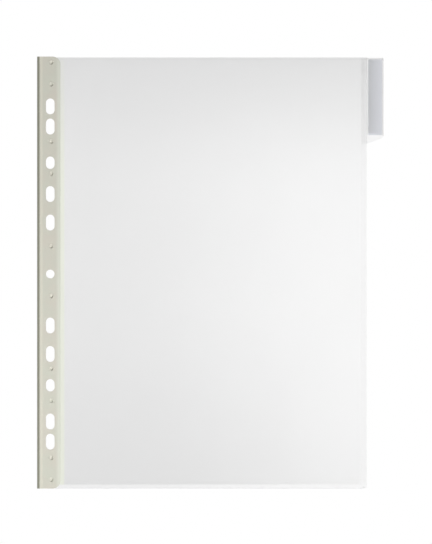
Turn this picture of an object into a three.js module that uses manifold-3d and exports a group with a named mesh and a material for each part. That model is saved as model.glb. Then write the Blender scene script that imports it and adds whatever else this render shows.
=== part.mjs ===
// A4 display pocket: two clear films welded on three sides, a folded filing strip with eleven
// punched holes, and a clear index tab that holds a loose label.
// Millimetres, +Z up, the front faces -Y and the tab is at +X.
// The origin is the centre of the middle filing hole, halfway through the strip's thickness.

import * as THREE from 'three';
import * as BufferGeometryUtils from 'three/addons/utils/BufferGeometryUtils.js';
import Module from 'manifold-3d';

const wasm = await Module();
wasm.setup();

// Filing holes: the middle one is round, the others are slots in pairs above and below it
const HOLE_WIDTH = 6.2;
const LONG_SLOT = 11.4;
const SHORT_SLOT = 8.9;
const INNER_SLOT = 37;
const SECOND_SLOT = 57.5;
const THIRD_SLOT = 80;
const FOURTH_SLOT = 106;
const OUTER_SLOT = 120.5;
const SLOT_PAIRS = [
  { distance: INNER_SLOT, length: LONG_SLOT },
  { distance: SECOND_SLOT, length: LONG_SLOT },
  { distance: THIRD_SLOT, length: SHORT_SLOT },
  { distance: FOURTH_SLOT, length: LONG_SLOT },
  { distance: OUTER_SLOT, length: LONG_SLOT },
];
const HOLE_LAND = 1.5;
const HOLE_ROW_INSET = 9.5;
const HOLE_ROW_DROP = 1.05;

// Filing strip, folded at its left edge round the film
const STRIP_HEIGHT = 310.5;
const STRIP_WIDTH = 16.75;
const STRIP_CORNER = 5.5;
const LEAF = 0.5;
const SPINE_RADIUS = 1.2;
const SPINE_WIDTH = 4.6;

// Weld studs that pin the strip's two leaves through the film
const STUD_HEAD = 3.4;
const STUD_SHAFT = 2.4;
const STUD_RIM = 0.2;
const STUD_BRIM = 0.05;
const STUD_DENT = 0.5;
const STUD_CLEARANCE = 0.1;
const STUD_ASIDE = 0.8;
const STUD_ROW_RISE = 2.1;
const STUD_GAP_NUDGE = 0.7;
const STUD_SMALLEST_GAP = 11;
const STUD_LAND = 0.1;
const STUD_END_SHARES = [0.277, 0.815];

// Clear film of the pocket
const FILM = 0.25;
const FILM_TOP_DROP = 0.65;
const FILM_FOOT_RISE = 0.1;
const FILM_SETBACK = 0.2;
const BINDING_WELD = 2.6;
const BINDING_THICKNESS = 0.4;
const INSIDE_WIDTH = 212.85;
const INSIDE_GAP = 0.5;
const SIDE_WELD = 4.75;
const FOOT_WELD = 3;
const WELD_LIP = 1;
const POCKET_CORNER = 2;

// Index tab and its label
const LABEL_WIDTH = 10;
const LABEL_HEIGHT = 54.5;
const LABEL_CARD = 0.3;
const LABEL_TOP_DROP = 1;
const LABEL_SIDE_ROOM = 0.4;
const LABEL_FOOT_ROOM = 0.3;
const LABEL_FACE_ROOM = 0.1;
const TAB_TOP_DROP = 0.25;
const TAB_FILM = 0.25;
const TAB_GRIP = 3.75;
const TAB_WELD = 0.75;
const TAB_FOOT_WELD = 1.4;
const TAB_FOOT_SLANT = 4.6;
const TAB_CORNER = 2.2;

// Facets of round stretches, and how far a cutting body runs past what it cuts
const ARC_STEPS = 6;
const BORE_STEPS = 6;
const STUD_SIDES = 16;
const RIM_STEPS = 4;
const OVERSHOOT = 1;

// Points closer than this are one point of a closed mesh
const SAME_POINT = 1e-6;

// Finishes
const STRIP_COLOUR = 0xcfccc0;
const STRIP_ROUGHNESS = 0.55;
const FILM_COLOUR = 0xe4e4e4;
const FILM_ROUGHNESS = 0.3;
const FILM_OPACITY = 0.35;
const CARD_COLOUR = 0xc3c5c9;
const CARD_ROUGHNESS = 0.8;

// Places worked out from the sizes above
const stripLeft = -HOLE_ROW_INSET;
const stripRight = stripLeft + STRIP_WIDTH;
const stripFoot = HOLE_ROW_DROP - STRIP_HEIGHT / 2;
const stripTop = stripFoot + STRIP_HEIGHT;
const leafInside = FILM;
const leafOutside = leafInside + LEAF;
const spineCentre = stripLeft + SPINE_RADIUS;
const spineEnd = stripLeft + SPINE_WIDTH;
const spineHollow = SPINE_RADIUS - LEAF;
const spineSway = (spineCentre + spineEnd) / 2;

const filmTop = stripTop - FILM_TOP_DROP;
const filmFoot = stripFoot + FILM_FOOT_RISE;
const marginLeft = spineEnd + FILM_SETBACK;
const panelLeft = stripRight + BINDING_WELD;
const insideRight = panelLeft + INSIDE_WIDTH;
const panelRight = insideRight + SIDE_WELD;
const insideFoot = filmFoot + FOOT_WELD;
const sheetLeft = panelLeft + WELD_LIP;
const sheetRight = insideRight - WELD_LIP;
const sheetFoot = insideFoot + WELD_LIP;
const sheetInside = INSIDE_GAP / 2;
const sheetOutside = sheetInside + FILM;

const tabTop = filmTop - TAB_TOP_DROP;
const labelTop = tabTop - LABEL_TOP_DROP;
const labelSlotFoot = labelTop - LABEL_HEIGHT - LABEL_FOOT_ROOM;
const labelSlotLeft = panelRight + TAB_WELD;
const labelLeft = labelSlotLeft + LABEL_SIDE_ROOM;
const labelSlotRight = labelLeft + LABEL_WIDTH + LABEL_SIDE_ROOM;
const tabGripLeft = panelRight - TAB_GRIP;
const labelSlotHalf = LABEL_CARD / 2 + LABEL_FACE_ROOM;
const tabOutside = Math.max(FILM, labelSlotHalf) + TAB_FILM;
const tabFold = labelSlotRight + tabOutside;
const tabFoot = labelSlotFoot - TAB_FOOT_WELD - TAB_FOOT_SLANT;

// Closed mesh to manifold solid and back

function toSolid(geometry) {
  const bare = geometry.clone();
  bare.deleteAttribute('normal');
  bare.deleteAttribute('uv');
  const merged = BufferGeometryUtils.mergeVertices(bare, SAME_POINT);
  const vertProperties = new Float32Array(merged.attributes.position.array);
  const triVerts = new Uint32Array(merged.index.array);
  return new wasm.Manifold(new wasm.Mesh({ numProp: 3, vertProperties, triVerts }));
}

function toGeometry(solid) {
  const mesh = solid.getMesh();
  const geometry = new THREE.BufferGeometry();
  geometry.setAttribute('position', new THREE.BufferAttribute(mesh.vertProperties, 3));
  geometry.setIndex(new THREE.BufferAttribute(mesh.triVerts, 1));
  geometry.computeVertexNormals();
  return geometry;
}

// Extrusions: a section in X and Y goes up, one in Y and Z goes across, a front view goes through

function extrudeUp(section, low, high) {
  const geometry = new THREE.ExtrudeGeometry(section, {
    depth: high - low,
    bevelEnabled: false,
    curveSegments: ARC_STEPS,
  });
  geometry.translate(0, 0, low);
  return toSolid(geometry);
}

function extrudeAcross(section, left, right) {
  const geometry = new THREE.ExtrudeGeometry(section, { depth: right - left, bevelEnabled: false });
  const sideView = new THREE.Matrix4().set(0, 0, 1, 0, 1, 0, 0, 0, 0, 1, 0, 0, 0, 0, 0, 1);
  geometry.applyMatrix4(sideView);
  geometry.translate(left, 0, 0);
  return toSolid(geometry);
}

function extrudeThrough(outline, front, back, steps = ARC_STEPS) {
  const geometry = new THREE.ExtrudeGeometry(outline, {
    depth: back - front,
    bevelEnabled: false,
    curveSegments: steps,
  });
  const frontView = new THREE.Matrix4().set(1, 0, 0, 0, 0, 0, -1, 0, 0, 1, 0, 0, 0, 0, 0, 1);
  geometry.applyMatrix4(frontView);
  geometry.translate(0, back, 0);
  return toSolid(geometry);
}

// Outlines

function rectangle(left, right, low, high) {
  const shape = new THREE.Shape();
  shape.moveTo(left, low);
  shape.lineTo(right, low);
  shape.lineTo(right, high);
  shape.lineTo(left, high);
  shape.closePath();
  return shape;
}

function slotOutline(x, z, width, length) {
  const radius = width / 2;
  const straight = Math.max(length - width, 0) / 2;
  const shape = new THREE.Shape();
  shape.absarc(x, z + straight, radius, 0, Math.PI, false);
  shape.absarc(x, z - straight, radius, Math.PI, 2 * Math.PI, false);
  shape.closePath();
  return shape;
}

function stripOutline() {
  const shape = new THREE.Shape();
  shape.moveTo(stripLeft - OVERSHOOT, stripFoot);
  shape.lineTo(stripRight - STRIP_CORNER, stripFoot);
  shape.absarc(stripRight - STRIP_CORNER, stripFoot + STRIP_CORNER, STRIP_CORNER, -Math.PI / 2, 0, false);
  shape.absarc(stripRight - STRIP_CORNER, stripTop - STRIP_CORNER, STRIP_CORNER, 0, Math.PI / 2, false);
  shape.lineTo(stripLeft - OVERSHOOT, stripTop);
  shape.closePath();
  return shape;
}

function pocketOutline() {
  const shape = new THREE.Shape();
  shape.moveTo(panelLeft, filmFoot);
  shape.lineTo(panelRight - POCKET_CORNER, filmFoot);
  shape.absarc(panelRight - POCKET_CORNER, filmFoot + POCKET_CORNER, POCKET_CORNER, -Math.PI / 2, 0, false);
  shape.lineTo(panelRight, filmTop);
  shape.lineTo(panelLeft, filmTop);
  shape.closePath();
  return shape;
}

// Section of the folded strip: two flat leaves that open into a round, hollow spine

function stripSection() {
  const shape = new THREE.Shape();
  shape.moveTo(stripRight, -leafOutside);
  shape.lineTo(stripRight, -leafInside);
  shape.lineTo(spineEnd, -leafInside);
  shape.bezierCurveTo(spineSway, -leafInside, spineSway, -spineHollow, spineCentre, -spineHollow);
  shape.absarc(spineCentre, 0, spineHollow, -Math.PI / 2, Math.PI / 2, true);
  shape.bezierCurveTo(spineSway, spineHollow, spineSway, leafInside, spineEnd, leafInside);
  shape.lineTo(stripRight, leafInside);
  shape.lineTo(stripRight, leafOutside);
  shape.lineTo(spineEnd, leafOutside);
  shape.bezierCurveTo(spineSway, leafOutside, spineSway, SPINE_RADIUS, spineCentre, SPINE_RADIUS);
  shape.absarc(spineCentre, 0, SPINE_RADIUS, Math.PI / 2, -Math.PI / 2, false);
  shape.bezierCurveTo(spineSway, -SPINE_RADIUS, spineSway, -leafOutside, spineEnd, -leafOutside);
  shape.closePath();
  return shape;
}

// Where the holes are, and where the studs fit between them

function fitsStrip(z, length, land) {
  return z - length / 2 > stripFoot + land && z + length / 2 < stripTop - land;
}

function holeRow() {
  const holes = [{ z: 0, length: HOLE_WIDTH }];
  for (const { distance, length } of SLOT_PAIRS) {
    for (const z of [distance, -distance]) {
      if (fitsStrip(z, length, HOLE_LAND)) holes.push({ z, length });
    }
  }
  return holes;
}

function studDistances() {
  const row = [{ distance: 0, length: HOLE_WIDTH }, ...SLOT_PAIRS];
  const distances = [];
  let low = 0;
  for (const { distance, length } of row) {
    const high = distance - length / 2;
    if (high - low > STUD_SMALLEST_GAP) distances.push((low + high) / 2 + STUD_GAP_NUDGE);
    low = distance + length / 2;
  }
  for (const share of STUD_END_SHARES) distances.push(low + share * (STRIP_HEIGHT / 2 - low));
  return distances;
}

function clearsHoles(z, holes) {
  return holes.every((hole) => Math.abs(z - hole.z) > (hole.length + STUD_HEAD) / 2);
}

function studRow(holes) {
  const heights = studDistances().flatMap((distance) => [STUD_ROW_RISE + distance, STUD_ROW_RISE - distance]);
  const kept = heights.filter((z) => fitsStrip(z, STUD_HEAD, STUD_LAND) && clearsHoles(z, holes));
  return kept.sort((a, b) => b - a);
}

function punch(solid, holes, studs) {
  const front = -SPINE_RADIUS - OVERSHOOT;
  const back = SPINE_RADIUS + OVERSHOOT;
  const bore = STUD_SHAFT + 2 * STUD_CLEARANCE;
  let punched = solid;
  for (const { z, length } of holes) {
    punched = punched.subtract(extrudeThrough(slotOutline(0, z, HOLE_WIDTH, length), front, back));
  }
  for (const z of studs) {
    punched = punched.subtract(extrudeThrough(slotOutline(STUD_ASIDE, z, bore, bore), front, back, BORE_STEPS));
  }
  return punched;
}

// The pieces

function filingStrip(holes, studs) {
  const folded = extrudeUp(stripSection(), stripFoot - OVERSHOOT, stripTop + OVERSHOOT);
  const trim = extrudeThrough(stripOutline(), -SPINE_RADIUS - OVERSHOOT, SPINE_RADIUS + OVERSHOOT);
  return toGeometry(punch(folded.intersect(trim), holes, studs));
}

function filmMargin(front, back, holes, studs) {
  const sheet = extrudeThrough(rectangle(marginLeft, stripRight, filmFoot, filmTop), front, back);
  return toGeometry(punch(sheet, holes, studs));
}

function weldStud(z) {
  const headRadius = STUD_HEAD / 2;
  const shaftRadius = STUD_SHAFT / 2;
  const profile = [new THREE.Vector2(0, -leafOutside + STUD_DENT)];
  for (let i = 0; i <= RIM_STEPS; i += 1) {
    const share = i / RIM_STEPS;
    const radius = shaftRadius + share * (headRadius - shaftRadius);
    const height = STUD_BRIM + (STUD_RIM - STUD_BRIM) * Math.sin(share * Math.PI);
    profile.push(new THREE.Vector2(radius, -leafOutside - height));
  }
  profile.push(new THREE.Vector2(headRadius, -leafOutside));
  profile.push(new THREE.Vector2(shaftRadius, -leafOutside));
  profile.push(new THREE.Vector2(shaftRadius, leafOutside));
  profile.push(new THREE.Vector2(0, leafOutside));
  const lathe = new THREE.LatheGeometry(profile, STUD_SIDES);
  lathe.translate(STUD_ASIDE, 0, z);
  return toGeometry(toSolid(lathe));
}

// A weld's section: the fused band, and the two lips that spread from it to the pocket's films.
// Each point is a place across the weld and a height off the middle plane.

function weldProfile(bandEdge, weldLine, lipEdge, bandHalf) {
  const upper = [
    [bandEdge, bandHalf],
    [weldLine, bandHalf],
    [weldLine, FILM],
    [lipEdge, sheetOutside],
    [lipEdge, sheetInside],
  ];
  const lower = upper.map(([across, height]) => [across, -height]).reverse();
  const points = [...upper, [weldLine, 0], ...lower];
  return points.filter(([across, height], i) => {
    const [lastAcross, lastHeight] = points[Math.max(i - 1, 0)];
    return i === 0 || across !== lastAcross || height !== lastHeight;
  });
}

function bindingWeld() {
  const half = BINDING_THICKNESS / 2;
  const section = new THREE.Shape(
    weldProfile(stripRight, panelLeft, sheetLeft, half).map(([x, y]) => new THREE.Vector2(x, y)));
  const band = extrudeUp(rectangle(stripRight, panelLeft, -half, half), filmFoot, filmTop);
  return toGeometry(band.add(extrudeUp(section, insideFoot, filmTop)));
}

function sideWeld() {
  const section = new THREE.Shape(
    weldProfile(panelRight, insideRight, sheetRight, FILM).map(([x, y]) => new THREE.Vector2(x, y)));
  const band = extrudeUp(rectangle(insideRight, panelRight, -FILM, FILM), filmFoot, filmTop);
  const weld = band.add(extrudeUp(section, insideFoot, filmTop));
  const trim = extrudeThrough(pocketOutline(), -sheetOutside - OVERSHOOT, sheetOutside + OVERSHOOT);
  return toGeometry(weld.intersect(trim));
}

function footWeld() {
  const section = new THREE.Shape(
    weldProfile(filmFoot, insideFoot, sheetFoot, FILM).map(([z, y]) => new THREE.Vector2(y, z)));
  const band = extrudeAcross(rectangle(-FILM, FILM, filmFoot, insideFoot), panelLeft, insideRight);
  return toGeometry(band.add(extrudeAcross(section, sheetLeft, sheetRight)));
}

function pocketFilm(front, back) {
  return toGeometry(extrudeThrough(rectangle(sheetLeft, sheetRight, sheetFoot, filmTop), front, back));
}

// Index tab: one film folded round its outer edge, welded shut beside the pocket and at its foot

function tabOutline() {
  const slant = Math.atan2(TAB_FOOT_SLANT, tabFold - panelRight);
  const cornerX = tabFold - TAB_CORNER;
  const cornerZ = tabFoot + TAB_FOOT_SLANT + TAB_CORNER * (1 / Math.cos(slant) - Math.tan(slant));
  const shape = new THREE.Shape();
  shape.moveTo(tabGripLeft, tabFoot);
  shape.lineTo(panelRight, tabFoot);
  shape.absarc(cornerX, cornerZ, TAB_CORNER, slant - Math.PI / 2, 0, false);
  shape.lineTo(tabFold, tabTop);
  shape.lineTo(tabGripLeft, tabTop);
  shape.closePath();
  return shape;
}

function foldedSection(left, right, half) {
  const shape = new THREE.Shape();
  shape.moveTo(left, -half);
  shape.lineTo(right, -half);
  shape.absarc(right, 0, half, -Math.PI / 2, Math.PI / 2, false);
  shape.lineTo(left, half);
  shape.closePath();
  return shape;
}

function tabSleeve() {
  const outside = foldedSection(tabGripLeft, labelSlotRight, tabOutside);
  const folded = extrudeUp(outside, tabFoot - OVERSHOOT, tabTop + OVERSHOOT);
  const trim = extrudeThrough(tabOutline(), -tabOutside - OVERSHOOT, tabOutside + OVERSHOOT);
  const weld = extrudeUp(
    rectangle(tabGripLeft - OVERSHOOT, panelRight, -FILM, FILM), tabFoot - OVERSHOOT, tabTop + OVERSHOOT);
  const slot = extrudeUp(
    foldedSection(labelSlotLeft, labelSlotRight, labelSlotHalf), labelSlotFoot, tabTop + OVERSHOOT);
  return toGeometry(folded.intersect(trim).subtract(weld).subtract(slot));
}

function tabLabel() {
  const card = new THREE.BoxGeometry(LABEL_WIDTH, LABEL_CARD, LABEL_HEIGHT);
  card.translate(labelLeft + LABEL_WIDTH / 2, 0, labelTop - LABEL_HEIGHT / 2);
  return toGeometry(toSolid(card));
}

// Materials

function stripPlastic() {
  return new THREE.MeshStandardMaterial({ color: STRIP_COLOUR, roughness: STRIP_ROUGHNESS, metalness: 0 });
}

function clearFilm() {
  return new THREE.MeshStandardMaterial({
    color: FILM_COLOUR,
    roughness: FILM_ROUGHNESS,
    metalness: 0,
    transparent: true,
    opacity: FILM_OPACITY,
  });
}

function labelCard() {
  return new THREE.MeshStandardMaterial({ color: CARD_COLOUR, roughness: CARD_ROUGHNESS, metalness: 0 });
}

// Assembly

const pocket = new THREE.Group();

function addPiece(name, geometry, material) {
  const mesh = new THREE.Mesh(geometry, material);
  mesh.name = name;
  pocket.add(mesh);
}

const holes = holeRow();
const studs = studRow(holes);

addPiece('filing_strip', filingStrip(holes, studs), stripPlastic());
addPiece('front_film_margin', filmMargin(-FILM, 0, holes, studs), clearFilm());
addPiece('back_film_margin', filmMargin(0, FILM, holes, studs), clearFilm());
studs.forEach((z, i) => {
  addPiece(`weld_stud_${String(i + 1).padStart(2, '0')}`, weldStud(z), stripPlastic());
});
addPiece('binding_weld', bindingWeld(), clearFilm());
addPiece('side_weld', sideWeld(), clearFilm());
addPiece('foot_weld', footWeld(), clearFilm());
addPiece('front_film', pocketFilm(-sheetOutside, -sheetInside), clearFilm());
addPiece('back_film', pocketFilm(sheetInside, sheetOutside), clearFilm());
addPiece('tab_sleeve', tabSleeve(), clearFilm());
addPiece('tab_label', tabLabel(), labelCard());

export default pocket;
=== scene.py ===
"""Looks of a clear A4 display pocket: its films, filing strip, weld spots, index tab and label.

Metres, +Z up, and the front faces -Y. The filing strip is at the left and the index tab at the right.
"""

import logging
import math
from dataclasses import dataclass
from enum import Enum
from typing import Callable

import bmesh
import bpy
from mathutils import Matrix, Vector


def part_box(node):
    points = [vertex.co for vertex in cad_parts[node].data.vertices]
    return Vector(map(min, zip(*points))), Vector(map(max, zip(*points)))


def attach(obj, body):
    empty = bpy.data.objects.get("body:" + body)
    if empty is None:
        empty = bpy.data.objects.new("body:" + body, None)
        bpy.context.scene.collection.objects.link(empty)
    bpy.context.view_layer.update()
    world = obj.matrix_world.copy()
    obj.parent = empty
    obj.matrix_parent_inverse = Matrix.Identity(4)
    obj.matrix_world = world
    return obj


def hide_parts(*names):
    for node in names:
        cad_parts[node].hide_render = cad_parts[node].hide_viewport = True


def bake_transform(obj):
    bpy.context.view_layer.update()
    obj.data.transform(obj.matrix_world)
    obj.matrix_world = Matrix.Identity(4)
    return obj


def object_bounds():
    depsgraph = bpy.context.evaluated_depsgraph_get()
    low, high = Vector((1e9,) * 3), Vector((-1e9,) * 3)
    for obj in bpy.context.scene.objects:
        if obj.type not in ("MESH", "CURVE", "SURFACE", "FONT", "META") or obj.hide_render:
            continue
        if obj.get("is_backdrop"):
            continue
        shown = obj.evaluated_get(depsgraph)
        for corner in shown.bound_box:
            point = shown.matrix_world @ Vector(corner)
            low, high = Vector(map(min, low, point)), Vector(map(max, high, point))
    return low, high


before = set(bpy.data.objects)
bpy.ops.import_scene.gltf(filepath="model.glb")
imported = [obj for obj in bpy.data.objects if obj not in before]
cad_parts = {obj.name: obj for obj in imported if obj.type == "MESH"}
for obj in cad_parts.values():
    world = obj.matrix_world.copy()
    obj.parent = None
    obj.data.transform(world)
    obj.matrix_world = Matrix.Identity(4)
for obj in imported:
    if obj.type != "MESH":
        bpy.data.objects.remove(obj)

log = logging.getLogger("pocket")

MM = 0.001
REST_PLACE = "rest_place"
PLASTIC_IOR = 1.49
# Points closer together than SAME_PLACE are one. Points closer to a cut than ON_PLANE lie on it.
SAME_PLACE = 1e-7
ON_PLANE = 1e-8
NUMBER = "NodeSocketFloat"
VECTOR = "NodeSocketVector"

Colour = tuple[float, float, float, float]
Range = tuple[float, float]
Pair = tuple[float, float]
Triple = tuple[float, float, float]


class Side(Enum):
    """The two faces of the pocket, each with the sign of its Y."""

    FRONT = -1.0
    BACK = 1.0


class Axis(Enum):
    """The two directions in the front view, each with the name of its place along it."""

    ACROSS = "X"
    UP = "Z"

    def other(self) -> "Axis":
        """The other direction."""
        return Axis.UP if self is Axis.ACROSS else Axis.ACROSS


class Slot(Enum):
    """The record's material slots."""

    STRIP = "strip_plastic"
    FILM = "clear_film"
    TAB = "clear_tab_film"
    LABEL = "label_card"


def grey_of(value: float) -> Colour:
    """A linear grey of one brightness, from 0 to 1."""
    return (value, value, value, 1.0)


def smoothstep(low: float, high: float, value: float) -> float:
    """A smooth rise from 0 at low to 1 at high.

    Args:
        low: Where the rise starts.
        high: Where the rise ends.
        value: The place to look at.

    Returns:
        A share from 0 to 1.
    """
    t = min(max((value - low) / (high - low), 0.0), 1.0)
    return t * t * (3.0 - 2.0 * t)


def vary(index: float, pace: float, start: float = 0.0) -> float:
    """A number from -1 to 1 that makes each of several like things a little different.

    Args:
        index: Which of them it is, or the angle on one of them.
        pace: How fast the number changes. Odd values keep the things from looking alike.
        start: Where it starts.

    Returns:
        The number, the same on each run.
    """
    return math.sin(pace * index + start)


def stations(*stretches: tuple[float, float, int]) -> list[float]:
    """Places along a line, from stretches that each have their own spacing.

    Args:
        stretches: Start, end and number of steps of each stretch, end to end.

    Returns:
        The places in rising order, each once.
    """
    places = [stretches[0][0]]
    for start, end, steps in stretches:
        places += [start + (end - start) * (i + 1) / steps for i in range(steps)]
    return places


def arc_points(x: float, z: float, radius: float, start: float, end: float, steps: int) -> list[Vector]:
    """Points on an arc in the front view.

    Args:
        x: Centre across.
        z: Centre up.
        radius: Radius of the arc.
        start: First angle in degrees, from +X towards +Z.
        end: Last angle in degrees.
        steps: Number of steps.

    Returns:
        The points, both ends among them.
    """
    angles = [math.radians(start + (end - start) * i / steps) for i in range(steps + 1)]
    return [Vector((x + radius * math.cos(a), 0.0, z + radius * math.sin(a))) for a in angles]


def slot_outline(x: float, z: float, width: float, length: float, steps: int) -> list[Vector]:
    """Outline of a slot with round ends, or of a round hole where length is width.

    Args:
        x: Centre across.
        z: Centre up.
        width: Width across.
        length: Length up.
        steps: Steps on each round end.

    Returns:
        The points of the closed outline.
    """
    radius = width / 2
    rise = (length - width) / 2
    upper = arc_points(x, z + rise, radius, 0, 180, steps)
    lower = arc_points(x, z - rise, radius, 180, 360, steps)
    if rise > 0:
        return upper + lower
    return upper[:-1] + lower[:-1]


class Bench:
    """A bmesh and the few moves that shape every piece."""

    SHARP_ANGLE = 40.0
    ROUND_SEGMENTS = 2

    def __init__(self) -> None:
        """Starts an empty mesh."""
        self.bm = bmesh.new()

    def chain(self, points: list[Vector], closed: bool = False) -> list[bmesh.types.BMEdge]:
        """Edges from point to point.

        Args:
            points: The points in order.
            closed: Whether the last one joins the first.

        Returns:
            The new edges.
        """
        verts = [self.bm.verts.new(p) for p in points]
        ends = verts[1:] + (verts[:1] if closed else [])
        return [self.bm.edges.new(pair) for pair in zip(verts, ends)]

    def pull(self, edges: list[bmesh.types.BMEdge], offset: Vector) -> list[bmesh.types.BMEdge]:
        """Draws edges out into a strip of faces.

        Args:
            edges: The edges to draw from.
            offset: How far they go.

        Returns:
            The edges at the far side.
        """
        made = bmesh.ops.extrude_edge_only(self.bm, edges=edges)["geom"]
        verts = {g for g in made if isinstance(g, bmesh.types.BMVert)}
        bmesh.ops.translate(self.bm, verts=list(verts), vec=offset)
        return [g for g in made if isinstance(g, bmesh.types.BMEdge) and set(g.verts) <= verts]

    def fill(self, edges: list[bmesh.types.BMEdge]) -> None:
        """Fills an outline, and leaves the outlines inside it open."""
        bmesh.ops.triangle_fill(self.bm, use_beauty=True, use_dissolve=False, edges=edges)

    def cut(self, place: Vector, outward: Vector, cap: bool) -> None:
        """Cuts off what lies beyond a plane.

        Args:
            place: A point on the plane.
            outward: The side that goes.
            cap: Whether the cut is closed with faces.
        """
        everything = self.bm.verts[:] + self.bm.edges[:] + self.bm.faces[:]
        cut = bmesh.ops.bisect_plane(
            self.bm, geom=everything, dist=ON_PLANE, plane_co=place, plane_no=outward, clear_outer=True)
        edges = [g for g in cut["geom_cut"] if isinstance(g, bmesh.types.BMEdge)]
        if cap and edges:
            self.fill(edges)

    def cut_round(self, centre: Vector, radius: float, start: float, end: float, steps: int,
                  cap: bool) -> None:
        """Cuts a corner round, one flat after another.

        Args:
            centre: Centre of the rounding.
            radius: Radius of the rounding.
            start: First angle, from +X towards +Z.
            end: Last angle.
            steps: Number of flats.
            cap: Whether the cuts are closed with faces.
        """
        for i in range(steps):
            angle = start + (end - start) * (i + 0.5) / steps
            outward = Vector((math.cos(angle), 0.0, math.sin(angle)))
            self.cut(centre + outward * radius, outward, cap)

    def thicken(self, amount: Vector) -> None:
        """Gives a flat sheet its thickness.

        Args:
            amount: From the sheet's one side to its other.
        """
        made = bmesh.ops.extrude_face_region(self.bm, geom=self.bm.faces[:])["geom"]
        verts = [g for g in made if isinstance(g, bmesh.types.BMVert)]
        bmesh.ops.translate(self.bm, verts=verts, vec=amount)
        self.face_outwards()

    def face_outwards(self) -> None:
        """Turns every face outwards."""
        bmesh.ops.recalc_face_normals(self.bm, faces=self.bm.faces[:])

    def weld(self) -> None:
        """Joins the points that lie on each other."""
        bmesh.ops.remove_doubles(self.bm, verts=self.bm.verts[:], dist=SAME_PLACE)

    def soften(self, width: float) -> None:
        """Rounds the sharp edges.

        Args:
            width: Width of the rounding.
        """
        limit = math.radians(self.SHARP_ANGLE)
        sharp = [e for e in self.bm.edges if e.is_manifold and e.calc_face_angle(0.0) > limit]
        bmesh.ops.bevel(
            self.bm, geom=sharp, offset=width, offset_type="OFFSET", segments=self.ROUND_SEGMENTS,
            profile=0.5, affect="EDGES", clamp_overlap=True, material=-1)

    def shift(self, move: Callable[[Vector], Vector]) -> None:
        """Moves each point to where move says."""
        for vert in self.bm.verts:
            vert.co = move(vert.co)

    def finish(self, name: str, material: bpy.types.Material,
               crease: float = 20.0) -> bpy.types.Object:
        """Makes the object, with smooth shading up to its creases.

        Args:
            name: The piece's name.
            material: Its finish.
            crease: Smallest angle in degrees between faces that still shows as an edge.

        Returns:
            The new object, at the origin.
        """
        mesh = bpy.data.meshes.new(name)
        self.bm.to_mesh(mesh)
        self.bm.free()
        place = mesh.attributes.new(REST_PLACE, "FLOAT_VECTOR", "POINT")
        place.data.foreach_set("vector", [c for vertex in mesh.vertices for c in vertex.co])
        mesh.shade_smooth()
        mesh.set_sharp_from_angle(angle=math.radians(crease))
        mesh.materials.append(material)
        piece = bpy.data.objects.new(name, mesh)
        bpy.context.scene.collection.objects.link(piece)
        return piece


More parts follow.
